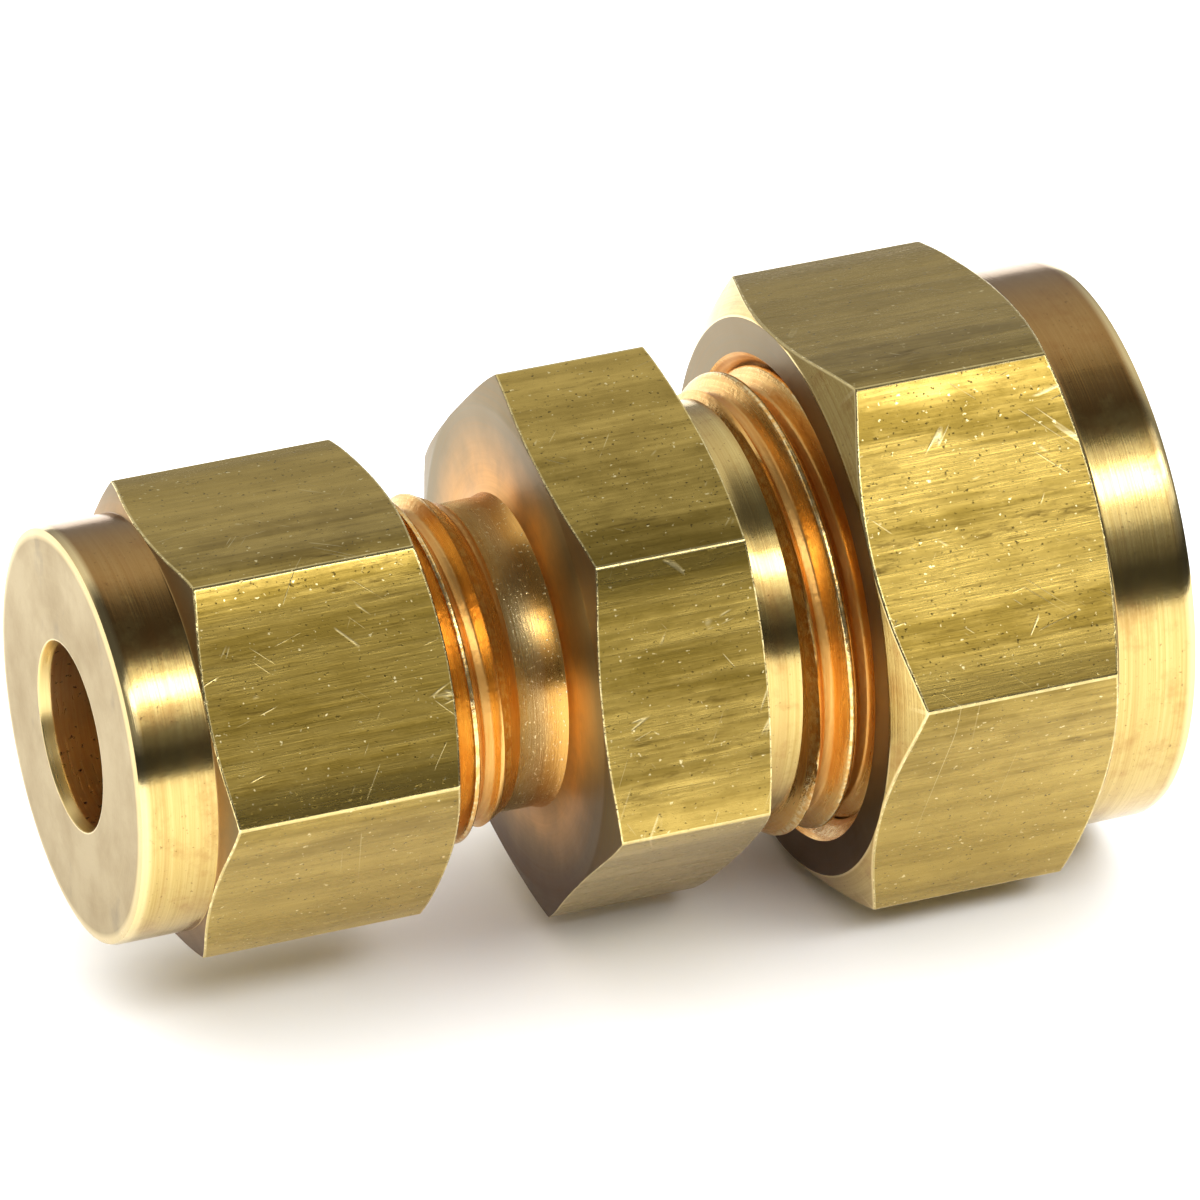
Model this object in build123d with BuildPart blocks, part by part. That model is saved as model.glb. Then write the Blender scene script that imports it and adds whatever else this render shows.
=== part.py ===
from build123d import *

import os
from dataclasses import dataclass
from math import cos, radians, tan

# Straight reducing compression coupling: one body, two olives and two nuts, all brass.
#
# Frame: X runs along the fitting, the small tube at -X and the large tube at +X, +Z up.
# The origin is on the axis, half-way between the outer faces of the two nuts.
#
# Each end is drawn the same way. Its section plane has the radius as local x and the
# station, the distance out from the origin, as local y, so one set of functions makes the
# pieces of both ends from that end's own sizes.

# ---- driving dimensions (mm and degrees) --------------------------------------------

overall_length = 36.0

# Both threads have a 60 degree form and the same pitch. They are drawn as parallel
# ridges, and the nuts' threads as a plain bore round the crests, so that the nuts can
# be moved along them at any angle.
thread_pitch = 1.25
thread_depth = 0.65
thread_half_angle = 30.0
crest_flat = 0.16
thread_clearance = 0.08
spigot_chamfer = 0.75

# Middle hexagon of the body.
body_across_flats = 16.5
body_hex_turn = 45.4
body_hex_chamfer = 0.32
bar_corner_round = 0.2
neck_fillet = 0.4

# The olive is squeezed between the seat in the spigot and the cone in the nut.
seat_angle = 30.0
nip_travel = 0.31
seat_lip = 0.12
olive_bore_clearance = 0.05
olive_tip_wall = 0.22
olive_heel_wall = 0.35
olive_land = 1.3
olive_to_nut_gap = 0.07

socket_clearance = 0.03
nut_hole_clearance = 0.1
nut_hole_lip = 0.1
nut_hole_lip_depth = 0.4
mouth_countersink = 0.5
collar_edge_round = 0.22

# A drill for the large tube's bore, stopped short, leaves a cone down to the small one.
drill_point_half_angle = 59.0
drill_tip_station = 0.3
overrun = 1.0


@dataclass
class End:
    """Sizes of one end; stations are distances out from the origin along the axis."""

    outward: int
    tube_radius: float
    waterway_radius: float
    hex_face: float
    neck_radius: float
    runout_start: float
    runout_end: float
    runout_radius: float
    first_groove: float
    crest_radius: float
    socket_bottom: float
    spigot_end: float
    olive_radius: float
    nut_across_flats: float
    nut_turn: float
    nut_mouth: float
    nut_mouth_chamfer: float
    collar_start: float
    collar_chamfer: float
    collar_radius: float


small = End(
    outward=-1,
    tube_radius=3.0,
    waterway_radius=2.0,
    hex_face=2.5,
    neck_radius=5.2,
    runout_start=4.26,
    runout_end=5.03,
    runout_radius=5.61,
    first_groove=5.4,
    crest_radius=5.92,
    socket_bottom=5.2,
    spigot_end=13.2,
    olive_radius=4.15,
    nut_across_flats=14.0,
    nut_turn=28.7,
    nut_mouth=7.0,
    nut_mouth_chamfer=0.45,
    collar_start=15.37,
    collar_chamfer=0.43,
    collar_radius=6.96,
)

large = End(
    outward=1,
    tube_radius=5.0,
    waterway_radius=4.0,
    hex_face=3.3,
    neck_radius=7.08,
    runout_start=4.93,
    runout_end=5.26,
    runout_radius=7.78,
    first_groove=5.81,
    crest_radius=7.78,
    socket_bottom=4.6,
    spigot_end=13.0,
    olive_radius=6.2,
    nut_across_flats=19.0,
    nut_turn=23.4,
    nut_mouth=7.0,
    nut_mouth_chamfer=0.88,
    collar_start=15.17,
    collar_chamfer=0.68,
    collar_radius=9.46,
)

# ---- shared geometry -----------------------------------------------------------------

outer_face = overall_length / 2
seat_slope = tan(radians(seat_angle))
flank_slope = tan(radians(thread_half_angle))


def section_plane(end):
    """Plane through the axis: local x is the radius, local y the station."""
    return Plane(origin=(0, 0, 0), x_dir=(0, 0, 1), z_dir=(0, end.outward, 0))


def cross_plane(end, station):
    """Plane across the axis at a station, facing outwards, with local x upwards."""
    return Plane(
        origin=(end.outward * station, 0, 0), x_dir=(0, 0, 1), z_dir=(end.outward, 0, 0)
    )


def seat_mouth_radius(end):
    return end.olive_radius + seat_lip


def olive_stations(end):
    """Stations of the olive's tip, front shoulder, back shoulder and heel."""
    tip_radius = end.tube_radius + olive_bore_clearance + olive_tip_wall
    heel_radius = end.tube_radius + olive_bore_clearance + olive_heel_wall
    seated_tip = end.spigot_end - (seat_mouth_radius(end) - tip_radius) / seat_slope
    tip = seated_tip + nip_travel
    front = tip + (end.olive_radius - tip_radius) / seat_slope
    back = front + olive_land
    heel = back + end.olive_radius - heel_radius
    return tip, front, back, heel


def nut_cone_station(end, radius):
    """Station where the nut's 45 degree inner cone has the given radius."""
    back = olive_stations(end)[2]
    return back + olive_to_nut_gap + end.olive_radius - radius


def hexagonal_bar(end, across_flats, turn, start, length, outline):
    """Hexagon bar with rounded corners, turned down to an outline of (radius, station)."""
    with BuildPart() as bar:
        with BuildSketch(cross_plane(end, start)) as bar_section:
            RegularPolygon(
                across_flats / 2, 6, major_radius=False, rotation=end.outward * turn
            )
            fillet(bar_section.vertices(), bar_corner_round)
        extrude(amount=length)
        with BuildSketch(section_plane(end)):
            with BuildLine():
                Polyline(*outline, close=True)
            make_face()
        revolve(axis=Axis.X, mode=Mode.INTERSECT)
    return bar.part


def chamfer_overrun(inner_radius, corner_radius, depth):
    """Radius and depth where a corner chamfer's cone has run out past the corner."""
    past_corner = 1.2
    radius = inner_radius + past_corner * (corner_radius - inner_radius)
    return radius, past_corner * depth


def thread_outline(end):
    """Points of the ridges from the run-out to the spigot's chamfer."""
    root = end.crest_radius - thread_depth
    at_crest = (thread_pitch - crest_flat) / 2
    at_root = at_crest - thread_depth * flank_slope
    points = []
    groove = end.first_groove
    while groove + at_crest < end.spigot_end - spigot_chamfer:
        points += [
            (root, groove - at_root),
            (root, groove + at_root),
            (end.crest_radius, groove + at_crest),
            (end.crest_radius, groove + at_crest + crest_flat),
        ]
        groove += thread_pitch
    return points[:-1]


# ---- body ----------------------------------------------------------------------------

body_inscribed = body_across_flats / 2
body_corner = body_inscribed / cos(radians(30))
chamfer_radius, chamfer_depth = chamfer_overrun(body_inscribed, body_corner, body_hex_chamfer)

with BuildPart() as coupling_body:
    add(
        hexagonal_bar(
            large,
            body_across_flats,
            body_hex_turn,
            start=-small.hex_face,
            length=small.hex_face + large.hex_face,
            outline=[
                (0, -small.hex_face),
                (body_inscribed, -small.hex_face),
                (chamfer_radius, chamfer_depth - small.hex_face),
                (chamfer_radius, large.hex_face - chamfer_depth),
                (body_inscribed, large.hex_face),
                (0, large.hex_face),
            ],
        )
    )
    for end in (small, large):
        # Spigot: filleted neck, cone where the thread runs out, ridges, end chamfer.
        fillet_centre = (end.neck_radius + neck_fillet, end.hex_face + neck_fillet)
        with BuildSketch(section_plane(end)):
            with BuildLine():
                CenterArc(fillet_centre, neck_fillet, 180, 90)
                Polyline(
                    (end.neck_radius, end.hex_face + neck_fillet),
                    (end.neck_radius, end.runout_start),
                    (end.runout_radius, end.runout_end),
                    *thread_outline(end),
                    (end.crest_radius, end.spigot_end - spigot_chamfer),
                    (end.crest_radius - spigot_chamfer, end.spigot_end),
                    (0, end.spigot_end),
                    (0, 0),
                    (end.neck_radius + neck_fillet, 0),
                    (end.neck_radius + neck_fillet, end.hex_face),
                )
            make_face()
        revolve(axis=Axis.X)
    for end in (small, large):
        # Waterway, tube socket with its stop shoulder, and the coned seat at the mouth.
        socket_radius = end.tube_radius + socket_clearance
        seat_depth = (seat_mouth_radius(end) - socket_radius) / seat_slope
        with BuildSketch(section_plane(end)):
            with BuildLine():
                Polyline(
                    (0, -drill_tip_station),
                    (small.waterway_radius, -drill_tip_station),
                    (small.waterway_radius, end.socket_bottom),
                    (socket_radius, end.socket_bottom),
                    (socket_radius, end.spigot_end - seat_depth),
                    (seat_mouth_radius(end), end.spigot_end),
                    (seat_mouth_radius(end), end.spigot_end + overrun),
                    (0, end.spigot_end + overrun),
                    close=True,
                )
            make_face()
        revolve(axis=Axis.X, mode=Mode.SUBTRACT)
    # The large tube's waterway and the cone its drill leaves.
    drill_cone = (large.waterway_radius - small.waterway_radius) / tan(
        radians(drill_point_half_angle)
    )
    with BuildSketch(section_plane(large)):
        with BuildLine():
            Polyline(
                (0, drill_tip_station),
                (small.waterway_radius, drill_tip_station),
                (large.waterway_radius, drill_tip_station + drill_cone),
                (large.waterway_radius, large.socket_bottom + overrun),
                (0, large.socket_bottom + overrun),
                close=True,
            )
        make_face()
    revolve(axis=Axis.X, mode=Mode.SUBTRACT)


# ---- olives --------------------------------------------------------------------------


def build_olive(end):
    """Compression ring: coned tip for the seat, plain land, coned heel for the nut."""
    tip, front, back, heel = olive_stations(end)
    bore = end.tube_radius + olive_bore_clearance
    with BuildPart() as olive:
        with BuildSketch(section_plane(end)):
            with BuildLine():
                Polyline(
                    (bore, tip),
                    (bore + olive_tip_wall, tip),
                    (end.olive_radius, front),
                    (end.olive_radius, back),
                    (bore + olive_heel_wall, heel),
                    (bore, heel),
                    close=True,
                )
            make_face()
        revolve(axis=Axis.X)
    return olive


small_olive = build_olive(small)
large_olive = build_olive(large)

# ---- nuts ----------------------------------------------------------------------------


def nut_outline(end):
    """Turned outline of a nut: chamfered hexagon, then the round collar."""
    inscribed = end.collar_radius
    corner = end.nut_across_flats / 2 / cos(radians(30))
    mouth_radius, mouth_depth = chamfer_overrun(inscribed, corner, end.nut_mouth_chamfer)
    collar_radius, collar_depth = chamfer_overrun(inscribed, corner, end.collar_chamfer)
    return [
        (0, end.nut_mouth),
        (inscribed, end.nut_mouth),
        (mouth_radius, end.nut_mouth + mouth_depth),
        (collar_radius, end.collar_start - collar_depth),
        (end.collar_radius, end.collar_start),
        (end.collar_radius, outer_face),
        (0, outer_face),
    ]


def build_nut(end):
    """Compression nut: hexagon, collar, tube hole, inner cone, thread bore, countersink."""
    hole_radius = end.tube_radius + nut_hole_clearance
    thread_radius = end.crest_radius + thread_clearance
    countersink_radius = end.crest_radius + mouth_countersink
    cone_radius = end.crest_radius - thread_depth
    cone_start = nut_cone_station(end, cone_radius)
    with BuildPart() as nut:
        add(
            hexagonal_bar(
                end,
                end.nut_across_flats,
                end.nut_turn,
                start=end.nut_mouth,
                length=outer_face - end.nut_mouth,
                outline=nut_outline(end),
            )
        )
        fillet(nut.edges().sort_by(Axis.X, reverse=end.outward > 0)[0], collar_edge_round)
        with BuildSketch(section_plane(end)):
            with BuildLine():
                Polyline(
                    (0, end.nut_mouth - overrun),
                    (countersink_radius, end.nut_mouth - overrun),
                    (countersink_radius, end.nut_mouth),
                    (thread_radius, end.nut_mouth + countersink_radius - thread_radius),
                    (thread_radius, cone_start),
                    (cone_radius, cone_start),
                    (hole_radius, nut_cone_station(end, hole_radius)),
                    (hole_radius, outer_face - nut_hole_lip_depth),
                    (hole_radius + nut_hole_lip, outer_face),
                    (hole_radius + nut_hole_lip, outer_face + overrun),
                    (0, outer_face + overrun),
                    close=True,
                )
            make_face()
        revolve(axis=Axis.X, mode=Mode.SUBTRACT)
    return nut


small_nut = build_nut(small)
large_nut = build_nut(large)

# ---- labels and files ----------------------------------------------------------------

coupling_body.part.label = "coupling_body"
small_olive.part.label = "small_olive"
large_olive.part.label = "large_olive"
small_nut.part.label = "small_nut"
large_nut.part.label = "large_nut"

os.makedirs("parts", exist_ok=True)
export_step(coupling_body.part, "parts/coupling_body.step")
export_step(small_olive.part, "parts/small_olive.step")
export_step(large_olive.part, "parts/large_olive.step")
export_step(small_nut.part, "parts/small_nut.step")
export_step(large_nut.part, "parts/large_nut.step")
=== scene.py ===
from math import ceil, cos, pi, radians, sin, tan

import bmesh
import bpy
from mathutils import Matrix, Vector


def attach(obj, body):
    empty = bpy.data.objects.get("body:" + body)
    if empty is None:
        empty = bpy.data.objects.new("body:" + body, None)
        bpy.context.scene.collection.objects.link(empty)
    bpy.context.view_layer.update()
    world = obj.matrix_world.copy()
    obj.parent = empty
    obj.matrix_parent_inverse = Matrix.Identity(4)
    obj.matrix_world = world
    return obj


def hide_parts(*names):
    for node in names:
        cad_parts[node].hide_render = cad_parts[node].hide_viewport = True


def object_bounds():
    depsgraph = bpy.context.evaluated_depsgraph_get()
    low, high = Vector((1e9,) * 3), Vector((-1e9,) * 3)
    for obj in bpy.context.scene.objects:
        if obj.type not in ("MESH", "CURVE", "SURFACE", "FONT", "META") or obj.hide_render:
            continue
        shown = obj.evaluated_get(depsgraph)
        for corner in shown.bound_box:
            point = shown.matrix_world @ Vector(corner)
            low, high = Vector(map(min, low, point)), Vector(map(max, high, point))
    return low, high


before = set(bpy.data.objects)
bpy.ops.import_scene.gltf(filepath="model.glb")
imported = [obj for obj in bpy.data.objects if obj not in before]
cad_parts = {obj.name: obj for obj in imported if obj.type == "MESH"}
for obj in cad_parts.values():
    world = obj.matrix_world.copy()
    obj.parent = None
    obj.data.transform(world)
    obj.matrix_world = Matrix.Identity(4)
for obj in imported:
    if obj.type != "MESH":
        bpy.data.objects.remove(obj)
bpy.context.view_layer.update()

# ---- coupling body ---------------------------------------------------------------------
# One piece turned from drawn brass hexagon bar. The middle keeps the bar's flats between
# two light chamfers, each end is a neck and a screwed spigot, and a seat for the olive and
# a socket for the tube are bored in from both ends. The threads are left bright dipped, and
# painted a deep orange, the colour of light bounced between brass surfaces.

body_across_flats = 16.5
body_hexagon_turn = 45.4
body_hexagon_faces = (-2.5, 3.3)
body_chamfer_rise = 0.2508
body_corner_round = 0.2
small_spigot = dict(start=-13.2, start_radius=5.17, start_slope=1.0,
                    end=-4.26, end_radius=5.2, end_slope=0.537, crest=5.92, phase=-6.33)
large_spigot = dict(start=4.93, start_radius=7.08, start_slope=1.667,
                    end=13.0, end_radius=7.03, end_slope=1.0, crest=7.78, phase=6.12)
thread_pitch = 1.25
thread_depth = 0.65
spigot_half_crest = 0.08
small_socket_radius, small_stop, small_seat = 3.03, -5.2, -11.05
large_socket_radius, large_stop, large_seat = 5.03, 4.6, 10.77
small_seat_mouth, large_seat_mouth = 4.27, 6.32
small_way_radius, large_way_radius = 2.0, 4.0
drill_cone_start, drill_cone_tip = 1.502, 0.3
neck_fillet = 0.4
past_body_corners = 9.9

# Sizes are in millimetres and turns in degrees, and metre turns a size into Blender's.
metre = 0.001

# A corner between turned stretches is broken by a small round. Its bend starts at the
# ease, and the metal is plain again at run_out times that.
body_ease, body_flat_ease, run_out = 0.05, 0.035, 2.3
longest_ease = 0.3

# A hexagon's corners are rounded, and rolled off a little more near their middle.
rolled_off, roll_starts = 0.1, 8.5
flat_to_corner = 0.8660254
cone_stands_off = 0.1
round_steps, flat_steps = 3, 22
ring_points = 6 * (2 * round_steps + flat_steps) + 1

# Zones of a piece, each with its own finish.
DRAWN, TURNED, FACED, DIPPED, BORED, LIP, SHOULDER, NECK = range(8)


class Field:
    """A number inside a node tree, worked out with ordinary sums by math nodes."""

    def __init__(self, tree, socket):
        self.tree, self.socket = tree, socket

    def do(self, operation, *values):
        node = self.tree.nodes.new("ShaderNodeMath")
        node.operation = operation
        for place, value in enumerate(values):
            if isinstance(value, Field):
                self.tree.links.new(value.socket, node.inputs[place])
            else:
                node.inputs[place].default_value = value
        return Field(self.tree, node.outputs[0])

    def __add__(self, other): return self.do("ADD", self, other)
    def __radd__(self, other): return self.do("ADD", other, self)
    def __sub__(self, other): return self.do("SUBTRACT", self, other)
    def __rsub__(self, other): return self.do("SUBTRACT", other, self)
    def __mul__(self, other): return self.do("MULTIPLY", self, other)
    def __rmul__(self, other): return self.do("MULTIPLY", other, self)
    def __truediv__(self, other): return self.do("DIVIDE", self, other)
    def __rtruediv__(self, other): return self.do("DIVIDE", other, self)
    def least(self, other): return self.do("MINIMUM", self, other)
    def most(self, other): return self.do("MAXIMUM", self, other)
    def to(self, power): return self.do("POWER", self, power)

    def ramp(self, low, high, start=0.0, end=1.0):
        """Runs from start to end as this number runs from low to high, and stops there."""
        node = self.tree.nodes.new("ShaderNodeMapRange")
        node.clamp = True
        for place, value in enumerate((self, low, high, start, end)):
            if isinstance(value, Field):
                self.tree.links.new(value.socket, node.inputs[place])
            else:
                node.inputs[place].default_value = value
        return Field(self.tree, node.outputs[0])


def add_node(tree, kind, inputs=None, **settings):
    """Adds a node with its settings. Its inputs, by name or place, are joined to a socket
    or a field, or filled with a plain value."""
    node = tree.nodes.new(kind)
    for name, value in settings.items():
        setattr(node, name, value)
    for key, value in (inputs or {}).items():
        if isinstance(value, Field):
            value = value.socket
        if isinstance(value, bpy.types.NodeSocket):
            tree.links.new(value, node.inputs[key])
        else:
            node.inputs[key].default_value = value
    return node


def open_tree(name, sizes):
    """A Geometry Nodes tree with a mesh in, the named sizes and a finish, and a mesh out."""
    tree = bpy.data.node_groups.new(name, "GeometryNodeTree")
    tree.interface.new_socket("Outline", in_out="INPUT", socket_type="NodeSocketGeometry")
    for size in sizes:
        tree.interface.new_socket(size, in_out="INPUT", socket_type="NodeSocketFloat")
    tree.interface.new_socket("Main finish", in_out="INPUT", socket_type="NodeSocketMaterial")
    tree.interface.new_socket("Metal", in_out="OUTPUT", socket_type="NodeSocketGeometry")
    entry = tree.nodes.new("NodeGroupInput")
    return tree, entry, {size: Field(tree, entry.outputs[size]) for size in sizes}


def close_tree(tree, entry, geometry):
    """Ends a tree: seams merged, instances made real, main finish put on."""
    seam_gap = 0.0015
    merged = add_node(tree, "GeometryNodeMergeByDistance",
                      {"Geometry": geometry, "Distance": seam_gap * metre})
    real = add_node(tree, "GeometryNodeRealizeInstances", {"Geometry": merged.outputs[0]})
    painted = add_node(tree, "GeometryNodeSetMaterial", {
        "Geometry": real.outputs[0], "Material": entry.outputs["Main finish"]})
    add_node(tree, "NodeGroupOutput", {0: painted.outputs[0]})


def corner_angle(tree, step, flat, corner_round):
    """Angle round the bar from its first corner, the bar's radius there, and whether that
    is on a rounded corner. The steps crowd into each corner, so that it is truly round."""
    steps = 2 * round_steps + flat_steps
    sector = (step / steps).do("FLOOR", step / steps)
    place = step - sector * steps
    meets_round = ((flat - corner_round) * tan(radians(30)) / flat)
    meets_round = meets_round.do("ARCTANGENT", meets_round)
    half_corner = radians(30) - meets_round
    off_centre = (place.ramp(0, round_steps, 0, half_corner)
                  + place.ramp(round_steps, steps - round_steps, 0, 2 * meets_round)
                  + place.ramp(steps - round_steps, steps, 0, half_corner) - radians(30))
    off_corner = radians(30) - off_centre.do("ABSOLUTE", off_centre)
    cosine = off_centre.do("COSINE", off_centre)
    on_flat = flat / cosine
    centre = (flat - corner_round) / flat_to_corner
    sine = centre * off_corner.do("SINE", off_corner)
    under_root = (corner_round * corner_round - sine * sine).most(0.0)
    on_round = (centre * off_corner.do("COSINE", off_corner)
                + under_root.do("SQRT", under_root))
    is_round = off_corner.do("LESS_THAN", off_corner, half_corner)
    nearing = off_corner.ramp(radians(roll_starts), half_corner)
    radius = on_round * is_round + on_flat * (1.0 - is_round) - nearing * nearing * rolled_off
    return sector * radians(60) + off_centre + radians(30), radius, is_round


def place_ring(tree, geometry, along, radius, angle, edge):
    """Moves each point of a grid to its place round the axis, and keeps its edge mark: wear on
    outer edges, dirt on inner ones, and on the bar's rounded corners partly a painted
    highlight.
    """
    upright = radius * angle.do("COSINE", angle)
    sideways = radius * angle.do("SINE", angle) * -1.0
    spot = add_node(tree, "ShaderNodeCombineXYZ", {0: along, 1: sideways, 2: upright})
    moved = add_node(tree, "GeometryNodeSetPosition",
                     {"Geometry": geometry, "Position": spot.outputs[0]})
    return add_node(tree, "GeometryNodeStoreNamedAttribute",
                    {"Geometry": moved.outputs[0], "Name": "edge", "Value": edge},
                    data_type="FLOAT", domain="POINT").outputs[0]


def outline_value(tree, outline, row, name, kind="FLOAT"):
    """What the outline's point of this row holds under a name."""
    held = add_node(tree, "GeometryNodeInputNamedAttribute", {"Name": name},
                    data_type=kind)
    picked = add_node(tree, "GeometryNodeSampleIndex",
                      {"Geometry": outline, "Value": held.outputs[0], "Index": row},
                      data_type=kind, domain="POINT", clamp=True)
    return Field(tree, picked.outputs[0])


def turned_bar_tree():
    """Hexagon bar turned down to an outline. Each row of the outline goes once round the
    axis, no further out than the bar; a row on a chamfer slides along the chamfer's cone
    to the line where it meets the flat."""
    tree, entry, size = open_tree("turned_bar", ["Across flats", "Corner round", "Turn"])
    outline = entry.outputs["Outline"]
    count = add_node(tree, "GeometryNodeAttributeDomainSize", {"Geometry": outline})
    rows = Field(tree, count.outputs["Point Count"])
    grid = add_node(tree, "GeometryNodeMeshGrid", {
        "Vertices X": ring_points, "Vertices Y": rows})
    index = Field(tree, tree.nodes.new("GeometryNodeInputIndex").outputs[0])
    face_rows = rows - 1
    face_row = index - (index / face_rows).do("FLOOR", index / face_rows) * face_rows
    zoned = add_node(tree, "GeometryNodeStoreNamedAttribute",
                     {"Geometry": grid.outputs["Mesh"], "Name": "finish",
                      "Value": outline_value(tree, outline, face_row, "finish", "INT")},
                     data_type="INT", domain="FACE")
    step = (index / rows).do("FLOOR", index / rows)
    row = index - step * rows
    angle, bar_radius, is_corner = corner_angle(tree, step, size["Across flats"] / 2,
                                                size["Corner round"])
    wanted = outline_value(tree, outline, row, "radius")
    radius = wanted.least(bar_radius - outline_value(tree, outline, row, "held_back"))
    radius = radius.most(outline_value(tree, outline, row, "no_less"))
    along = (outline_value(tree, outline, row, "along")
             - outline_value(tree, outline, row, "lean") * (wanted - radius))
    # The bar's rounded corners are marked as worn edges, which the finishes brighten: partly
    # wear, partly a painted highlight along each corner.
    corner_wear_and_highlight = 0.7
    edge = outline_value(tree, outline, row, "edge").most(
        wanted.do("GREATER_THAN", wanted, bar_radius) * is_corner * corner_wear_and_highlight)
    metal = place_ring(tree, zoned.outputs[0], along * metre, radius * metre,
                       angle + size["Turn"], edge)
    close_tree(tree, entry, metal)
    return tree


def screw_thread_tree():
    """Screw thread of one tooth's outline, whose rows climb the axis by a pitch a turn.
    They stop at both ends of the screwed stretch, under the cones that trim its ends."""
    tree, entry, size = open_tree("screw_thread", [
        "Pitch", "Turns", "First crest", "Crest radius", "Side", "Start", "Start radius",
        "Start slope", "End", "End radius", "End slope", "Across flats", "Corner round",
        "Turn"])
    outline = entry.outputs["Outline"]
    count = add_node(tree, "GeometryNodeAttributeDomainSize", {"Geometry": outline})
    rows_a_tooth = Field(tree, count.outputs["Point Count"])
    rows = rows_a_tooth * size["Turns"]
    grid = add_node(tree, "GeometryNodeMeshGrid", {
        "Vertices X": ring_points, "Vertices Y": rows})
    zoned = add_node(tree, "GeometryNodeStoreNamedAttribute",
                     {"Geometry": grid.outputs["Mesh"], "Name": "finish",
                      "Value": DIPPED}, data_type="INT", domain="FACE")
    index = Field(tree, tree.nodes.new("GeometryNodeInputIndex").outputs[0])
    step = (index / rows).do("FLOOR", index / rows)
    row = index - step * rows
    turn = (row / rows_a_tooth).do("FLOOR", row / rows_a_tooth)
    tooth_row = row - turn * rows_a_tooth
    angle, _, _ = corner_angle(tree, step, size["Across flats"] / 2, size["Corner round"])
    angle = angle + size["Turn"]
    along = (size["First crest"] + turn * size["Pitch"]
             + outline_value(tree, outline, tooth_row, "along")
             + size["Pitch"] * angle / (2 * pi))
    along = along.most(size["Start"]).least(size["End"])
    side = size["Side"]
    tooth = side * size["Crest radius"] - outline_value(tree, outline, tooth_row, "depth")
    radius = tooth.least(side * size["Start radius"]
                         + (along - size["Start"]) * size["Start slope"])
    radius = radius.least(side * size["End radius"]
                          + (size["End"] - along) * size["End slope"])
    metal = place_ring(tree, zoned.outputs[0], along * metre, radius * side * metre, angle,
                       outline_value(tree, outline, tooth_row, "edge"))
    close_tree(tree, entry, metal)
    return tree


def outline_object(name, rows):
    """The rows of an outline as a line of points, each holding its own numbers."""
    mesh = bpy.data.meshes.new(name)
    mesh.from_pydata([(place, 0, 0) for place in range(len(rows))],
                     [(place, place + 1) for place in range(len(rows) - 1)], [])
    for key in rows[0]:
        kind = "INT" if key == "finish" else "FLOAT"
        mesh.attributes.new(key, kind, "POINT").data.foreach_set(
            "value", [row[key] for row in rows])
    made = bpy.data.objects.new(name, mesh)
    bpy.context.collection.objects.link(made)
    return made


def grown(name, tree, rows, main_finish, **sizes):
    """Runs a tree on an outline and returns the plain mesh that comes out."""
    worker = outline_object(name, rows)
    modifier = worker.modifiers.new(tree.name, "NODES")
    modifier.node_group = tree
    identifiers = {item.name: item.identifier for item in tree.interface.items_tree
                   if item.in_out == "INPUT"}
    for size, value in sizes.items():
        modifier[identifiers[size.replace("_", " ")]] = float(value)
    modifier[identifiers["Main finish"]] = main_finish
    depsgraph = bpy.context.evaluated_depsgraph_get()
    mesh = bpy.data.meshes.new_from_object(worker.evaluated_get(depsgraph))
    worker.modifiers.remove(modifier)
    bpy.data.objects.remove(worker)
    return mesh


def plain_row(along, radius, finish, edge=0.0, lean=0.0, held_back=0.0, no_less=0.0):
    """One row of a turned outline. On a chamfer it leans, is held back from the bar's
    surface, and goes no further in than the cone's foot."""
    return dict(along=along, radius=radius, finish=finish, edge=edge, lean=lean,
                held_back=held_back, no_less=no_less)


def eased(corners, ease):
    """Rows of a turned outline with each corner broken by a small round. A corner is
    (along, radius, finish of the stretch after it, own ease or None, extra row values)."""
    rows = []
    for place, (along, radius, finish, own, extra) in enumerate(corners):
        here = Vector((along, radius))
        if place in (0, len(corners) - 1):
            rows.append(plain_row(along, radius, finish, **extra))
            continue
        last_finish = corners[place - 1][2]
        back = Vector(corners[place - 1][:2]) - here
        ahead = Vector(corners[place + 1][:2]) - here
        cut = min(ease if own is None else own, longest_ease * back.length,
                  longest_ease * ahead.length)
        back.normalize()
        ahead.normalize()
        edge = 1.0 if back.x * ahead.y - back.y * ahead.x > 0 else -1.0
        middle = here + (back + ahead) * cut / 4
        for spot, zone, wear, values in (
            (here + back * cut * run_out, last_finish, 0.0, corners[place - 1][4]),
            (here + back * cut, last_finish, edge, corners[place - 1][4]),
            (middle, finish, edge, extra),
            (here + ahead * cut, finish, edge, extra),
            (here + ahead * cut * run_out, finish, 0.0, extra),
        ):
            rows.append(plain_row(spot.x, spot.y, zone, wear, **values))
    return rows


def chamfered_flats(near, far, shoulder, near_rise, far_rise, out, ease, near_finish):
    """Rows of the bar's flats between two chamfer cones, each starting at the shoulder
    radius; out is a radius past the corners, and a rise is the cone's length per radius."""
    reach = out - shoulder
    rows = []
    bend = [(run_out * ease, 0, 0), (ease, 0, 1), (ease / 4, ease / 4, 1), (0, ease, 1),
            (0, run_out * ease, 0)]
    for held_back, push, edge in bend:
        rows.append(plain_row(near + near_rise * reach + push, out,
                              DRAWN if push else near_finish, edge, near_rise, held_back,
                              shoulder if held_back else 0.0))
    inner, outer = near + near_rise * reach, far - far_rise * reach
    for share in (0.2, 0.4, 0.6, 0.8):
        rows.append(plain_row(inner + share * (outer - inner), out, DRAWN))
    for held_back, push, edge in reversed(bend):
        rows.append(plain_row(far - far_rise * reach - push, out,
                              DRAWN if push else SHOULDER, edge, -far_rise, held_back,
                              shoulder if held_back else 0.0))
    return rows


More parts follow.
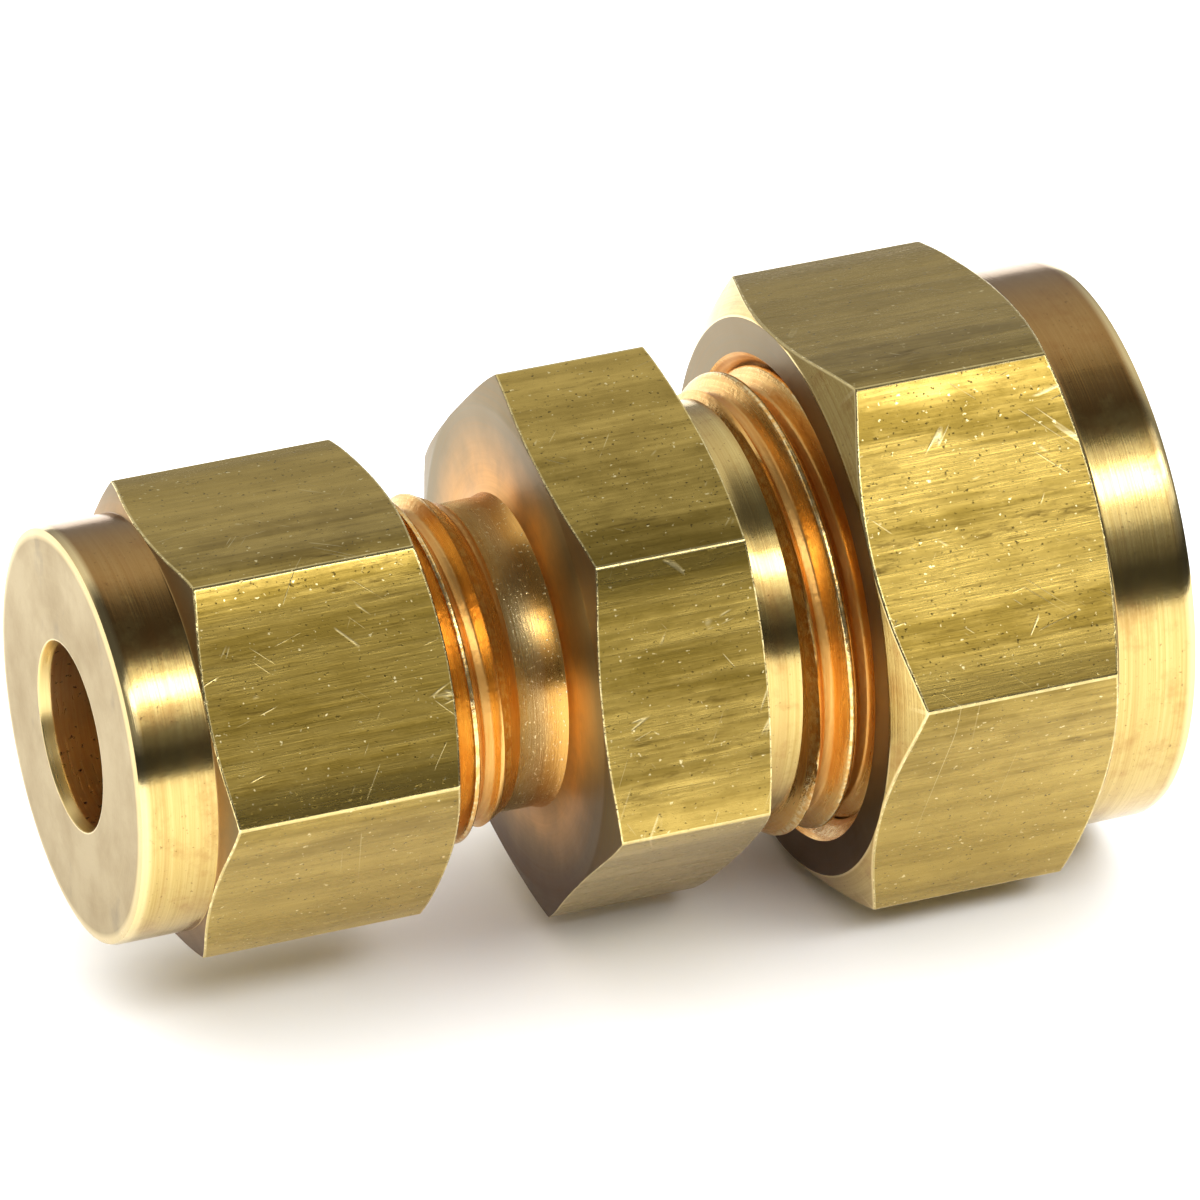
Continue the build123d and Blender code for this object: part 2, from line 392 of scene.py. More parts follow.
def tooth_rows(depth, half_crest, half_angle=30.0):
    """Rows of one tooth from the middle of its crest to just before the next one's."""
    foot = half_crest + depth * tan(radians(half_angle))
    crest_drop, root_drop, root_round = 0.014, 0.985, 0.06
    half = [(0.0, 0.0, 0.6), (0.55 * half_crest, 0.0, 1.0), (half_crest, crest_drop, 1.0)]
    half += [(half_crest + share * (foot - half_crest), share * depth, edge)
             for share, edge in ((0.08, 0.6), (0.3, 0.0), (0.6, 0.0), (0.88, 0.0))]
    half += [(foot + root_round / 4, root_drop * depth, -1.0),
             (foot + root_round, depth, -1.0)]
    rows = half + [(thread_pitch / 2, depth, -1.0)]
    rows += [(thread_pitch - along, deep, edge) for along, deep, edge in half[:0:-1]]
    return [dict(along=along, depth=deep, edge=edge) for along, deep, edge in rows]


def thread_mesh(name, tooth, crest, side, start, start_radius, start_slope, end,
                end_radius, end_slope, phase, turn, across_flats, corner_round):
    """One screwed stretch, from start to end along the axis. It begins some turns before
    the start, where the rows are held on the start itself."""
    turns_before = 3
    first = start - (start - phase) % thread_pitch - turns_before * thread_pitch
    turns = ceil((end - first) / thread_pitch) + 1
    return grown(name, screw_thread, tooth, finishes[DIPPED], Pitch=thread_pitch,
                 Turns=turns, First_crest=first, Crest_radius=crest, Side=side, Start=start,
                 Start_radius=start_radius, Start_slope=start_slope, End=end,
                 End_radius=end_radius, End_slope=end_slope, Across_flats=across_flats,
                 Corner_round=corner_round, Turn=radians(turn))


def joined(name, meshes, body, node):
    """Sews a piece's stretches into one closed shell and puts it in its node's place."""
    sewn_within, smallest_edge, sharp_from = 0.002, 0.0004, 38
    shell = bmesh.new()
    for mesh in meshes:
        zones = [0] * len(mesh.polygons)
        mesh.attributes["finish"].data.foreach_get("value", zones)
        mesh.polygons.foreach_set("material_index", zones)
        shell.from_mesh(mesh)
        bpy.data.meshes.remove(mesh)
    bmesh.ops.remove_doubles(shell, verts=shell.verts, dist=sewn_within * metre)
    bmesh.ops.dissolve_degenerate(shell, edges=shell.edges, dist=smallest_edge * metre)
    bmesh.ops.recalc_face_normals(shell, faces=shell.faces)
    whole = bpy.data.meshes.new(name)
    shell.to_mesh(whole)
    shell.free()
    for finish in finishes:
        whole.materials.append(finish)
    whole.shade_smooth()
    whole.set_sharp_from_angle(angle=radians(sharp_from))
    piece = bpy.data.objects.new(name, whole)
    bpy.context.collection.objects.link(piece)
    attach(piece, body)
    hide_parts(node)


def brushed_brass(name, rules):
    """A metal finish whose patterns are made by its rules."""
    finish = bpy.data.materials.new(name)
    finish.use_nodes = True
    tree = finish.node_tree
    shader = tree.nodes["Principled BSDF"]
    shader.inputs["Metallic"].default_value = 1.0
    rules(tree, shader)
    return finish


def place_fields(tree):
    """Where a point is on the fitting, in millimetres: along, across, up, and radius."""
    spot = tree.nodes.new("ShaderNodeTexCoord").outputs["Object"]
    split = add_node(tree, "ShaderNodeSeparateXYZ", {0: spot})
    along, across, up = (Field(tree, split.outputs[place]) * (1 / metre) for place in range(3))
    return along, across, up, (across * across + up * up).to(0.5)


def grain(tree, parts, detail=3.0, roughness=0.6, w=None):
    """Noise from three scaled coordinates, and a fourth where one is given."""
    vector = add_node(tree, "ShaderNodeCombineXYZ", {place: part for place, part
                                                      in enumerate(parts)})
    fourth = {} if w is None else {"W": w}
    noise = add_node(tree, "ShaderNodeTexNoise", {
        "Vector": vector.outputs[0], "Scale": 1.0, "Detail": detail,
        "Roughness": roughness, **fourth}, noise_dimensions="4D" if fourth else "3D")
    return Field(tree, noise.outputs["Fac"])


def blended(tree, share, low, high):
    """A colour between two, each a colour or another blend."""
    low, high = ((*colour, 1.0) if isinstance(colour, tuple) else colour
                 for colour in (low, high))
    return add_node(tree, "ShaderNodeMix", {0: share, 6: low, 7: high},
                    data_type="RGBA").outputs[2]


def dressed(tree, shader, colour, roughness, height, bump):
    """Puts a colour, a roughness and a surface height in millimetres on the shader."""
    tree.links.new(colour, shader.inputs["Base Color"])
    tree.links.new(roughness.socket, shader.inputs["Roughness"])
    relief = add_node(tree, "ShaderNodeBump", {"Height": height, "Distance": bump * metre})
    tree.links.new(relief.outputs[0], shader.inputs["Normal"])


def edge_fields(tree):
    """How worn an outer edge is, and how dirty an inner one, both from 0 to 1. On the bar's
    rounded corners the worn mark is partly a painted highlight.
    """
    edge = Field(tree, add_node(tree, "ShaderNodeAttribute",
                                attribute_name="edge").outputs["Fac"])
    return edge.ramp(0.3, 1.0), edge.ramp(-0.3, -1.0)


def scratches(tree, along, around, turn, seed):
    """Thin straight scratches at one angle, from 0 to 1."""
    cosine, sine = cos(radians(turn)), sin(radians(turn))
    run, gap = along * cosine + around * sine, around * cosine - along * sine
    wave = grain(tree, (run * 0.09 + seed, gap * 1.7, seed), 1, 0.5) - 0.5
    line = wave.do("ABSOLUTE", wave).ramp(0.0, 0.014, 1.0, 0.0)
    return line * grain(tree, (run * 0.55 + seed, gap * 0.9, seed), 2, 0.5).ramp(0.635, 0.68)


def drawn_flats(tree, shader):
    """Bar drawn through a die: streaks along it, a mottled olive oxidation, specks and nicks,
    and painted shade on the flats facing up and to the front.
    """
    bare_bar = (0.52, 0.37, 0.098)
    olive_oxide = (0.20, 0.13, 0.021)
    painted_shade_up_front = (0.21, 0.15, 0.03)
    dark_smear = (0.10, 0.062, 0.012)
    pit = (0.05, 0.035, 0.01)
    fresh_cut = (0.95, 0.82, 0.45)
    rubbed_edge = (1.0, 0.84, 0.42)
    grime = (0.35, 0.17, 0.05)
    along, across, up, _ = place_fields(tree)
    worn, dirty = edge_fields(tree)
    band = grain(tree, (along * 0.06, across * 1.0, up * 1.0), 4, 0.62)
    streak = grain(tree, (along * 0.22, across * 5.5, up * 5.5), 4, 0.65)
    hair = grain(tree, (along * 0.9, across * 24, up * 24), 2, 0.5)
    mottle = grain(tree, (along * 0.6, across * 0.95, up * 0.95), 6, 0.66)
    speck = grain(tree, (along * 7, across * 9, up * 9), 2, 0.5).ramp(0.66, 0.74)
    glint = grain(tree, (along * 5 + 3, across * 6, up * 6), 2, 0.5).ramp(0.69, 0.75)
    smear = grain(tree, (along * 0.5 + 9, across * 3.4, up * 3.4), 5, 0.72).ramp(0.54, 0.68)
    patch = grain(tree, (along * 0.16 + 5, across * 0.3, up * 0.3), 2, 0.5).ramp(0.47, 0.6)
    around = across + up * 0.35
    # Painted shade: flats facing up and to the front get more oxidation, a darker tint and
    # more smear than those facing down.
    faces_up_front = (up * 0.6 - across * 0.8) / (across * across + up * up).to(0.5)
    up_front_shade = faces_up_front.ramp(0.5, 0.92, 0.45, 1.0)
    score = scratches(tree, along, around, 52, 3.1).most(
        scratches(tree, along, around, -38, 7.7)).most(scratches(tree, along, around, 12, 1.3))
    oxide_and_shade = (streak.ramp(0.38, 0.66) * 0.34 + mottle.ramp(0.4, 0.62) * 0.36
             + band.ramp(0.42, 0.58) * 0.55).least(1.0) * up_front_shade
    colour = blended(tree, oxide_and_shade, bare_bar, olive_oxide)
    colour = blended(tree, faces_up_front.ramp(0.7, 1.0) * 0.5, colour, painted_shade_up_front)
    colour = blended(tree, smear * patch * up_front_shade * 0.8, colour, dark_smear)
    colour = blended(tree, speck * 0.8, colour, pit)
    colour = blended(tree, (score * faces_up_front.ramp(0.3, 0.7) * 0.45).most(glint * 0.7), colour,
                     fresh_cut)
    # Rubbed edges: wear, and along the bar's rounded corners partly a painted highlight.
    burr = grain(tree, (along * 3.5, across * 3.5, up * 3.5), 2, 0.5).ramp(0.42, 0.58)
    colour = blended(tree, worn.least(0.45).most(worn * burr) * 0.85, colour,
                     rubbed_edge)
    colour = blended(tree, dirty * 0.6, colour, grime)
    rough = (hair * 0.10 + oxide_and_shade * 0.12 + smear * patch * 0.12 + 0.18 - worn * 0.08).most(0.1)
    height = (band * 1.3 + streak * 0.35 + hair * 0.15 - speck * 0.4 + mottle * 0.45
              - score * 0.3 + worn.ramp(0.7, 1.0) * burr * 0.8)
    dressed(tree, shader, colour, rough, height, 0.012)


def turned_brass(tree, shader):
    """Turned on a lathe: fine lines round the axis, golden, with browner bands, and painted
    shade darkening the tops of the nuts' collars.
    """
    bright_line = (0.66, 0.50, 0.19)
    dull_line = (0.52, 0.36, 0.11)
    brown_band = (0.40, 0.21, 0.06)
    painted_top_shade = (0.26, 0.12, 0.035)
    pit = (0.15, 0.07, 0.02)
    rubbed_edge = (0.95, 0.78, 0.40)
    grime = (0.42, 0.17, 0.04)
    along, across, up, radius = place_fields(tree)
    worn, dirty = edge_fields(tree)
    low = (across / radius * 1.3, up / radius * 1.3)
    line = grain(tree, (along * 16, *low), 3, 0.7, radius * 16)
    band = grain(tree, (along * 2.6, across / radius * 0.5, up / radius * 0.5), 2, 0.5,
                 radius * 2.6)
    cloud = grain(tree, (along * 0.7, across * 0.7, up * 0.7), 5, 0.66)
    speck = grain(tree, (along * 8, across * 8, up * 8), 2, 0.5).ramp(0.68, 0.74)
    colour = blended(tree, line.ramp(0.35, 0.7), bright_line, dull_line)
    colour = blended(tree, (band.ramp(0.45, 0.7) * 0.25 + cloud.ramp(0.5, 0.68) * 0.5),
                     colour, brown_band)
    # Painted shade: the tops of the nuts' collars are darkened, standing in for the dark room
    # above mirrored in them.
    collar_top_shade = ((up / radius + cloud * 0.5).ramp(0.95, 1.12)
              * along.do("ABSOLUTE", along).ramp(14.6, 15.2))
    colour = blended(tree, collar_top_shade * 0.75, colour, painted_top_shade)
    colour = blended(tree, speck * 0.6, colour, pit)
    # Rubbed edges: wear, and where a cone meets the bar's rounded corners partly a painted
    # highlight.
    colour = blended(tree, worn * 0.6, colour, rubbed_edge)
    colour = blended(tree, dirty * 0.7, colour, grime)
    dressed(tree, shader, colour, line * 0.08 + cloud * 0.12 + 0.07 - worn * 0.04,
            line * 0.6 + band * 0.4 + cloud * 0.8, 0.007)


def faced_brass(tree, shader):
    """Faced off and tumbled: a matte tan with faint rings and a few grey smudges."""
    pale_tan = (0.42, 0.325, 0.17)
    deep_tan = (0.33, 0.24, 0.11)
    grey_smudge = (0.18, 0.145, 0.09)
    ring_light = (0.48, 0.38, 0.19)
    dust_brown = (0.25, 0.17, 0.07)
    rubbed_edge = (0.80, 0.62, 0.28)
    along, across, up, radius = place_fields(tree)
    worn, dirty = edge_fields(tree)
    ring = grain(tree, (along * 3, across / radius * 0.8, up / radius * 0.8), 2, 0.6,
                 radius * 11)
    smudge = grain(tree, (along * 0.4, across * 0.33, up * 0.33), 5, 0.6)
    grey = grain(tree, (along * 0.4, across * 0.5 + 6, up * 0.3), 4, 0.6).ramp(0.6, 0.72)
    dust = grain(tree, (along * 9, across * 9, up * 9), 2, 0.5)
    colour = blended(tree, smudge.ramp(0.42, 0.68), pale_tan, deep_tan)
    colour = blended(tree, grey * 0.5, colour, grey_smudge)
    colour = blended(tree, ring.ramp(0.5, 0.8) * 0.2, colour, ring_light)
    colour = blended(tree, dust.ramp(0.62, 0.74) * 0.25, colour, dust_brown)
    colour = blended(tree, worn * 0.6, colour, rubbed_edge)
    dressed(tree, shader, colour, smudge * 0.16 + 0.38 - worn * 0.18,
            ring * 0.25 + dust * 0.5, 0.006)


def dipped_brass(tree, shader):
    """Bright-dipped threads and recesses: a strong orange that is a painted reflection of
    light bounced between brass surfaces, with yellow, burred crests.
    """
    light_orange = (0.86, 0.52, 0.16)
    deep_orange = (0.70, 0.34, 0.075)
    yellow_cloud = (0.88, 0.62, 0.22)
    burred_crest = (1.0, 0.84, 0.46)
    root_grime = (0.50, 0.20, 0.04)
    along, across, up, radius = place_fields(tree)
    worn, dirty = edge_fields(tree)
    low = (across / radius * 2.2, up / radius * 2.2)
    tear = grain(tree, (along * 6, *low), 4, 0.7, radius * 7)
    burr = grain(tree, (along * 4.5, across * 4.5, up * 4.5), 3, 0.6)
    cloud = grain(tree, (along * 0.6 + 4, across * 0.6, up * 0.6), 3, 0.5)
    # Painted reflection: the orange base is the colour of light bounced between brass
    # surfaces.
    colour = blended(tree, tear.ramp(0.36, 0.66), light_orange, deep_orange)
    colour = blended(tree, cloud.ramp(0.45, 0.7) * 0.4, colour, yellow_cloud)
    colour = blended(tree, worn * burr.ramp(0.44, 0.56) * 0.7, colour, burred_crest)
    colour = blended(tree, dirty * 0.35, colour, root_grime)
    dressed(tree, shader, colour, tear * 0.16 + 0.20 + dirty * 0.10 - worn * 0.08,
            tear * 0.5 + burr * 1.2, 0.014)


def bored_brass(tree, shader):
    """Drilled hole: red-brown, ringed by the drill, with black specks of swarf."""
    ring_top = (0.98, 0.70, 0.34)
    ring_foot = (0.84, 0.50, 0.20)
    swarf = (0.05, 0.02, 0.01)
    along, across, up, radius = place_fields(tree)
    ring = grain(tree, (along * 9, across / radius, up / radius), 4, 0.7)
    speck = grain(tree, (along * 4, across * 4, up * 4), 3, 0.6).ramp(0.62, 0.7)
    colour = blended(tree, ring.ramp(0.3, 0.7), ring_top, ring_foot)
    colour = blended(tree, speck, colour, swarf)
    dressed(tree, shader, colour, ring * 0.2 + 0.2, ring * 0.6 - speck * 0.5, 0.01)


def lip_brass(tree, shader):
    """Freshly countersunk lip of the tube hole: yellow, hardly oxidised."""
    fresh_yellow = (0.92, 0.74, 0.34)
    dull_yellow = (0.78, 0.55, 0.2)
    along, across, up, radius = place_fields(tree)
    ring = grain(tree, (along * 12, across / radius, up / radius), 3, 0.6)
    colour = blended(tree, ring, fresh_yellow, dull_yellow)
    dressed(tree, shader, colour, ring * 0.15 + 0.22, ring, 0.004)


def shoulder_brass(tree, shader):
    """Turned shoulders beside a neck or collar: orange in the recess, a painted reflection of
    light bounced between brass surfaces; beige outside; and painted shade darkening their
    lower part.
    """
    recess_bounce_orange = (0.62, 0.31, 0.07)
    outer_beige = (0.215, 0.165, 0.085)
    ring_brown = (0.40, 0.22, 0.07)
    cloud_olive = (0.26, 0.19, 0.09)
    painted_shade_brown = (0.085, 0.038, 0.012)
    grime = (0.45, 0.19, 0.04)
    along, across, up, radius = place_fields(tree)
    _, dirty = edge_fields(tree)
    ring = grain(tree, (along * 8, across / radius, up / radius), 3, 0.7, radius * 9)
    cloud = grain(tree, (along * 0.5, across * 0.5, up * 0.5), 5, 0.62)
    # Painted reflection: the orange near the recess is the colour of light bounced between
    # brass surfaces.
    inner = (radius + cloud * 0.6).ramp(6.2, 8.1)
    colour = blended(tree, inner, recess_bounce_orange, outer_beige)
    colour = blended(tree, ring.ramp(0.4, 0.7) * 0.25, colour, ring_brown)
    colour = blended(tree, cloud.ramp(0.45, 0.66) * 0.4, colour, cloud_olive)
    # Painted shade: darker towards the bottom, standing in for the shadowed table mirrored
    # there.
    lower_shade = (cloud * 2.0 - up).ramp(1.5, 7.0) * inner.ramp(0.0, 1.0, 0.4, 1.0)
    colour = blended(tree, lower_shade * 0.9, colour, painted_shade_brown)
    colour = blended(tree, dirty * 0.5, colour, grime)
    dressed(tree, shader, colour, ring * 0.1 + cloud * 0.15 + 0.30,
            ring * 0.3 + cloud * 0.4, 0.006)


def neck_brass(tree, shader):
    """Neck beside the thread: pale and brushed in its middle, and orange towards its fillet, a
    painted reflection of light bounced between brass surfaces.
    """
    pale_middle = (0.92, 0.78, 0.42)
    golden = (0.74, 0.54, 0.22)
    bounce_orange_red = (0.74, 0.40, 0.10)
    line_brown = (0.55, 0.29, 0.07)
    spark_yellow = (1.0, 0.9, 0.55)
    grime = (0.55, 0.24, 0.05)
    along, across, up, radius = place_fields(tree)
    worn, dirty = edge_fields(tree)
    line = grain(tree, (along * 11, across / radius * 1.6, up / radius * 1.6), 4, 0.7)
    cloud = grain(tree, (along * 0.8, across * 0.8, up * 0.8), 5, 0.66)
    spark = grain(tree, (along * 9, across * 9, up * 9), 2, 0.5).ramp(0.64, 0.72)
    out = along.do("ABSOLUTE", along)
    # Painted reflection: orange towards the fillet, the colour of light bounced between brass
    # surfaces.
    fillet_bounce = (out + cloud * 1.2).ramp(3.75, 4.5, 1.0, 0.0)
    colour = blended(tree, cloud.ramp(0.4, 0.65), pale_middle, golden)
    colour = blended(tree, fillet_bounce, colour, bounce_orange_red)
    colour = blended(tree, line.ramp(0.5, 0.75) * 0.4, colour, line_brown)
    colour = blended(tree, (spark * 0.8).most(worn * 0.6), colour, spark_yellow)
    colour = blended(tree, dirty * 0.3, colour, grime)
    dressed(tree, shader, colour, line * 0.12 + cloud * 0.14 + 0.12,
            line * 0.5 + cloud * 0.9 + spark * 0.4, 0.009)


finishes = [brushed_brass(name, rules) for name, rules in (
    ("drawn_flats", drawn_flats), ("turned_brass", turned_brass),
    ("faced_brass", faced_brass), ("dipped_brass", dipped_brass),
    ("bored_brass", bored_brass), ("lip_brass", lip_brass),
    ("shoulder_brass", shoulder_brass), ("neck_brass", neck_brass))]
turned_bar = turned_bar_tree()
screw_thread = screw_thread_tree()

body_bar = dict(Across_flats=body_across_flats, Corner_round=body_corner_round,
                Turn=radians(body_hexagon_turn))
body_inscribed = body_across_flats / 2
body_cone = dict(lean=body_chamfer_rise, held_back=cone_stands_off,
                 no_less=body_inscribed)
body_back_cone = dict(body_cone, lean=-body_chamfer_rise)
near_face, far_face = body_hexagon_faces
reach = body_chamfer_rise * (past_body_corners - body_inscribed)
plain = {}
small_neck, large_neck = small_spigot["end_radius"], large_spigot["start_radius"]
left = eased([
    (small_spigot["end"], small_neck, NECK, None, plain),
    (near_face, small_neck, SHOULDER, neck_fillet, plain),
    (near_face, body_inscribed, SHOULDER, None, body_cone),
    (near_face + reach, past_body_corners, SHOULDER, None, body_cone)], body_ease)
right = eased([
    (far_face - reach, past_body_corners, TURNED, None, body_back_cone),
    (far_face, body_inscribed, SHOULDER, None, plain),
    (far_face, large_neck, TURNED, neck_fillet, plain),
    (large_spigot["start"], large_neck, TURNED, None, plain)], body_ease)
flats = chamfered_flats(near_face, far_face, body_inscribed, body_chamfer_rise,
                        body_chamfer_rise, past_body_corners, body_flat_ease, SHOULDER)
body_rows = left[:-1] + flats + right[1:]
bore_rows = eased([
    (large_spigot["end"], large_spigot["end_radius"], FACED, None, plain),
    (large_spigot["end"], large_seat_mouth, TURNED, None, plain),
    (large_seat, large_socket_radius, BORED, None, plain),
    (large_stop, large_socket_radius, BORED, None, plain),
    (large_stop, large_way_radius, BORED, None, plain),
    (drill_cone_start, large_way_radius, BORED, None, plain),
    (drill_cone_tip, small_way_radius, BORED, None, plain),
    (small_stop, small_way_radius, BORED, None, plain),
    (small_stop, small_socket_radius, BORED, None, plain),
    (small_seat, small_socket_radius, TURNED, None, plain),
    (small_spigot["start"], small_seat_mouth, FACED, None, plain),
    (small_spigot["start"], small_spigot["start_radius"], FACED, None, plain)], body_ease)
spigot_tooth = tooth_rows(thread_depth, spigot_half_crest)
body_ring = dict(turn=body_hexagon_turn, across_flats=body_across_flats,
                 corner_round=body_corner_round)
joined("coupling_body_turned", [
    grown("body_outside", turned_bar, body_rows, finishes[DRAWN], **body_bar),
    grown("body_inside", turned_bar, bore_rows, finishes[BORED], **body_bar),
    thread_mesh("small_spigot", spigot_tooth, side=1, **small_spigot, **body_ring),
    thread_mesh("large_spigot", spigot_tooth, side=1, **large_spigot, **body_ring),
], "body", "coupling_body")

# ---- nuts ------------------------------------------------------------------------------
# Two nuts turned from hexagon bar, 14 and 19 mm across the flats. Each has a round collar
# at its outer end, a hole for the tube with a small lip, an inner cone that squeezes the
# olive, and a thread cut in from a countersunk mouth.

nuts = {
    "small": dict(outward=-1, across=14.0, turn=28.7, shoulder=6.96, mouth_depth=0.45,
                  collar_start=15.37, collar_depth=0.43, crest=5.92, hole=3.1,
                  cone_start=13.552, cone_end=15.722, phase=-6.33),
    "large": dict(outward=1, across=19.0, turn=23.4, shoulder=9.46, mouth_depth=0.88,
                  collar_start=15.17, collar_depth=0.68, crest=7.78, hole=5.1,
                  cone_start=13.542, cone_end=15.572, phase=6.12),
}
nut_mouth, nut_end, nut_corner_round = 7.0, 18.0, 0.2
collar_edge_round, lip_depth, lip_rise = 0.22, 0.4, 0.1
mouth_countersink, thread_clearance, nut_half_crest = 0.5, 0.08, 0.1
mouth_ease, nut_ease, nut_flat_ease, collar_foot_ease, lip_ease = 0.05, 0.06, 0.04, 0.04, 0.03
past_nut_corners, thread_end_relief = 0.3, 0.02


def mirrored(rows, outward):
    """Rows given outwards from the middle of the fitting, put at their own end of it."""
    return [dict(row, along=outward * row["along"], lean=outward * row["lean"])
            for row in rows]


for size, nut in nuts.items():
    corner = nut["across"] / 2 / flat_to_corner
    shoulder, out = nut["shoulder"], corner + past_nut_corners
    mouth_rise = nut["mouth_depth"] / (corner - shoulder)
    collar_rise = nut["collar_depth"] / (corner - shoulder)
    mouth_cone = dict(lean=mouth_rise, held_back=cone_stands_off, no_less=shoulder)
    collar_cone = dict(lean=-collar_rise, held_back=cone_stands_off, no_less=shoulder)
    mouth_radius = nut["crest"] + mouth_countersink
    root_radius = nut["crest"] + thread_clearance
    relief_radius = root_radius + thread_end_relief
    front = eased([
        (nut_mouth, mouth_radius, SHOULDER, None, plain),
        (nut_mouth, shoulder, TURNED, None, mouth_cone),
        (nut_mouth + mouth_rise * (out - shoulder), out, TURNED, None, mouth_cone)],
        mouth_ease)
    back = eased([
        (nut["collar_start"] - collar_rise * (out - shoulder), out, SHOULDER, None,
         collar_cone),
        (nut["collar_start"], shoulder, TURNED, collar_foot_ease, plain),
        (nut_end, shoulder, FACED, collar_edge_round, plain),
        (nut_end, nut["hole"] + lip_rise, LIP, lip_ease, plain),
        (nut_end - lip_depth, nut["hole"], BORED, lip_ease, plain),
        (nut["cone_end"], nut["hole"], BORED, None, plain),
        (nut["cone_start"], nut["crest"] - thread_depth, DIPPED, None, plain),
        (nut["cone_start"], relief_radius, DIPPED, None, plain)], nut_ease)
    flats = chamfered_flats(nut_mouth, nut["collar_start"], shoulder, mouth_rise,
                            collar_rise, out, nut_flat_ease, TURNED)
    rows = front[:-1] + flats + back[1:]
    near = (nut_mouth, mouth_radius, 1.0)
    far = (nut["cone_start"], relief_radius, 1.0)
    if nut["outward"] < 0:
        near, far = (-far[0], *far[1:]), (-near[0], *near[1:])
    ring = dict(across_flats=nut["across"], corner_round=nut_corner_round, turn=nut["turn"])
    nut_tooth = [dict(row, depth=-row["depth"], edge=-row["edge"])
                 for row in tooth_rows(thread_depth, nut_half_crest)]
    joined(f"{size}_nut_turned", [
        grown(f"{size}_nut_outside", turned_bar, mirrored(rows, nut["outward"]),
              finishes[DRAWN], Across_flats=nut["across"], Corner_round=nut_corner_round,
              Turn=radians(nut["turn"])),
        thread_mesh(f"{size}_nut_thread", nut_tooth, root_radius, -1, *near, *far,
                    nut["phase"], **ring),
    ], f"{size}_nut_body", f"{size}_nut")

# ---- olives ----------------------------------------------------------------------------
# Two soft brass rings turned from tube, each with a long coned tip for the seat, a plain
# land and a short coned heel. They sit loose between the body and the nuts.

olives = {
    "small": dict(outward=-1, bore=3.05, outer=4.15, tip=11.778, front=13.302, back=14.602,
                  heel=15.352),
    "large": dict(outward=1, bore=5.05, outer=6.2, tip=11.491, front=13.102, back=14.402,
                  heel=15.202),
}
olive_tip_wall, olive_heel_wall, olive_ease = 0.22, 0.35, 0.05
for size, olive in olives.items():
    bore, middle = olive["bore"], (olive["front"] + olive["back"]) / 2
    rows = eased([
        (middle, olive["outer"], TURNED, None, plain),
        (olive["back"], olive["outer"], TURNED, None, plain),
        (olive["heel"], bore + olive_heel_wall, FACED, None, plain),
        (olive["heel"], bore, TURNED, None, plain),
        (olive["tip"], bore, FACED, None, plain),
        (olive["tip"], bore + olive_tip_wall, TURNED, None, plain),
        (olive["front"], olive["outer"], TURNED, None, plain),
        (middle, olive["outer"], TURNED, None, plain)], olive_ease)
    joined(f"{size}_olive_turned", [
        grown(f"{size}_olive_ring", turned_bar, mirrored(rows, olive["outward"]),
              finishes[TURNED], Across_flats=nuts[size]["across"],
              Corner_round=nut_corner_round, Turn=radians(nuts[size]["turn"]))],
        f"{size}_olive_body", f"{size}_olive")

# ---- studio ----------------------------------------------------------------------------
# A white table under a wide soft light, with a softbox and a brighter strip lamp above and
# in front of the fitting for the metal to mirror, and a weak fill from the room. The
# camera looks down at the small nut's end.

floor_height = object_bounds()[0][2]
table = bpy.data.meshes.new("table")
table_reach, table_gap = 3, 0.05
table.from_pydata([(x * table_reach, y * table_reach, floor_height - table_gap * metre)
                   for x, y in ((-1, -1), (1, -1), (1, 1), (-1, 1))], [], [(0, 1, 2, 3)])
table_top = bpy.data.objects.new("table", table)
bpy.context.collection.objects.link(table_top)
table_finish = bpy.data.materials.new("white_table")
table_finish.use_nodes = True
table_shader = table_finish.node_tree.nodes["Principled BSDF"]
table_shader.inputs["Base Color"].default_value = (0.93, 0.93, 0.92, 1)
table_shader.inputs["Roughness"].default_value = 0.9
table_shader.inputs["Specular IOR Level"].default_value = 0.1
table.materials.append(table_finish)


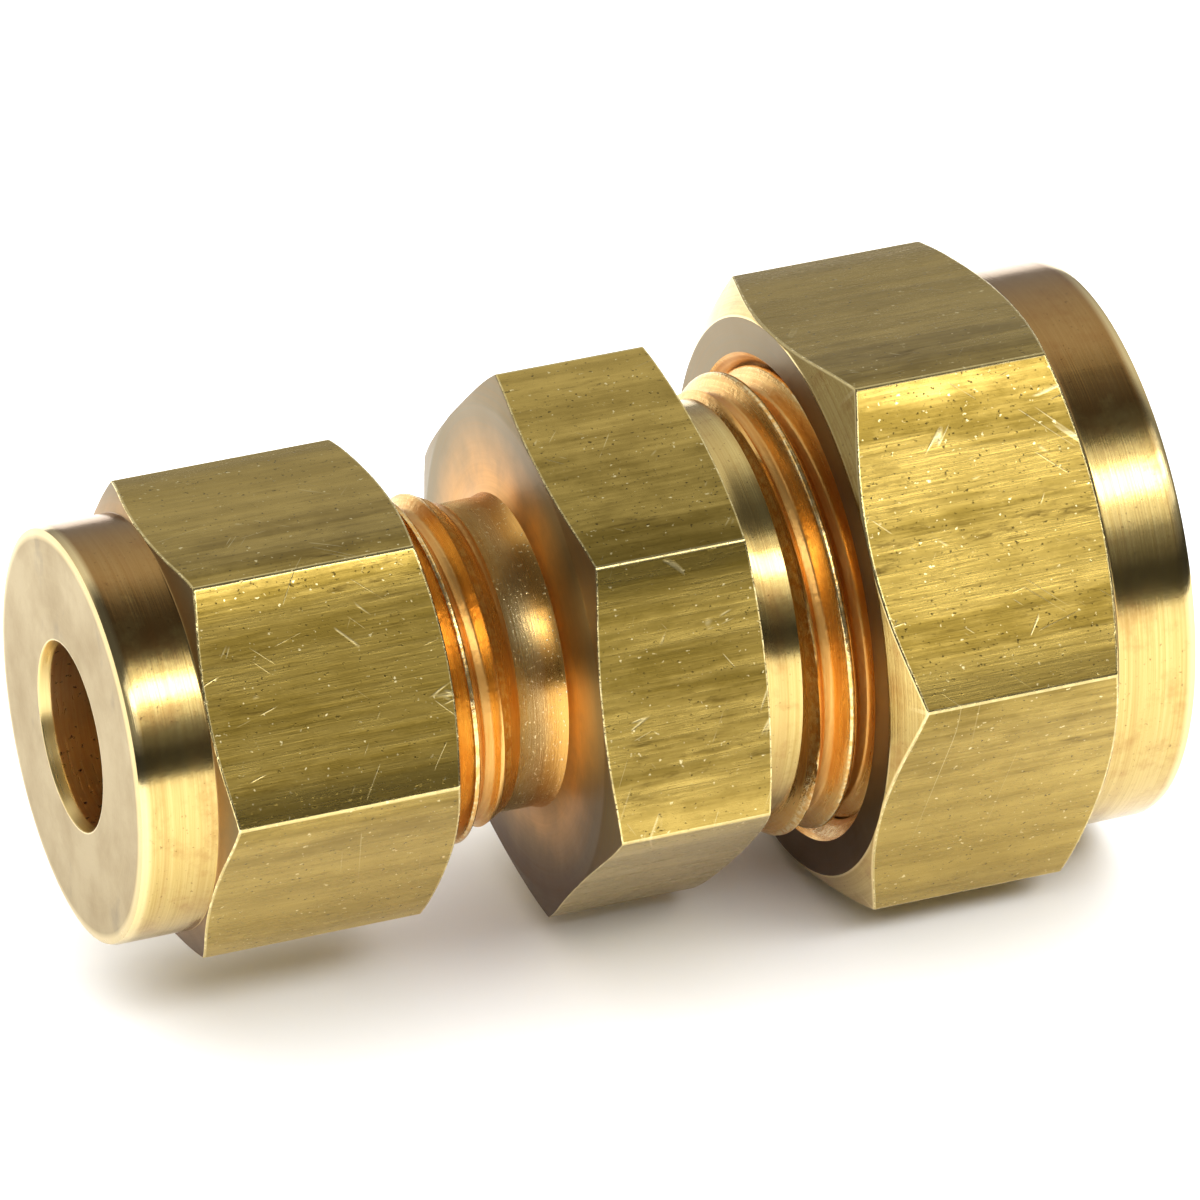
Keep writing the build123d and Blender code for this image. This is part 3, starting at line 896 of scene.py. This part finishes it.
def softbox(name, towards, distance, width, height, power, seen_in_metal=True):
    """A rectangular area lamp in a direction from the fitting, facing it."""
    lamp = bpy.data.lights.new(name, "AREA")
    lamp.shape = "RECTANGLE"
    lamp.size, lamp.size_y, lamp.energy = width, height, power
    made = bpy.data.objects.new(name, lamp)
    made.visible_glossy = seen_in_metal
    place = Vector(towards).normalized() * distance
    facing = place.to_track_quat("Z", "Y").to_matrix().to_4x4()
    made.matrix_world = Matrix.Translation(place) @ facing
    bpy.context.collection.objects.link(made)


softbox("key_softbox", (0.315, -0.633, 0.707), 0.5, 0.50, 0.26, 0.43)
softbox("key_lamp", (0.315, -0.62, 0.72), 0.49, 0.34, 0.08, 0.55)
softbox("table_light", (0.0, 0.05, 1.0), 1.0, 2.6, 2.6, 49.0,
        seen_in_metal=False)

# The room as the metal mirrors it: nearly dark along the front and overhead, lighter
# behind, where a wall stands.
world = bpy.data.worlds.new("room")
world.use_nodes = True
room = world.node_tree
towards = add_node(room, "ShaderNodeSeparateXYZ",
                   {0: room.nodes.new("ShaderNodeTexCoord").outputs["Generated"]})
height = Field(room, towards.outputs[2])
front = height.ramp(0.25, 0.45, 0.03, 0.28) - height.ramp(0.72, 0.86, 0.0, 0.18)
rear = height.ramp(0.0, 0.8, 0.30, 0.95) - height.ramp(0.86, 0.97, 0.0, 0.85)
behind = Field(room, towards.outputs[1]).ramp(-0.1, 0.25)
glow = front + (rear - front) * behind
backdrop = room.nodes["Background"]
backdrop.inputs["Color"].default_value = (1, 1, 1, 1)
room.links.new(glow.socket, backdrop.inputs["Strength"])
bpy.context.scene.world = world
bpy.context.scene.view_settings.view_transform = "Standard"

camera_data = bpy.data.cameras.new("camera")
camera_data.lens = 365.1
camera_data.sensor_width = 36.0
camera_data.clip_start, camera_data.clip_end = 0.01, 20.0
camera = bpy.data.objects.new("camera", camera_data)
camera_spot = Vector((-126.23, -324.13, 202.97))
view_right = Vector((0.9313, -0.3643, 0.0))
view_ahead = Vector((0.31519, 0.80573, -0.50148)).normalized()
view_up = view_right.cross(view_ahead).normalized()
turn_matrix = Matrix((view_right, view_up, -view_ahead)).transposed().to_4x4()
camera.matrix_world = Matrix.Translation(camera_spot * metre) @ turn_matrix
bpy.context.collection.objects.link(camera)
bpy.context.scene.camera = camera
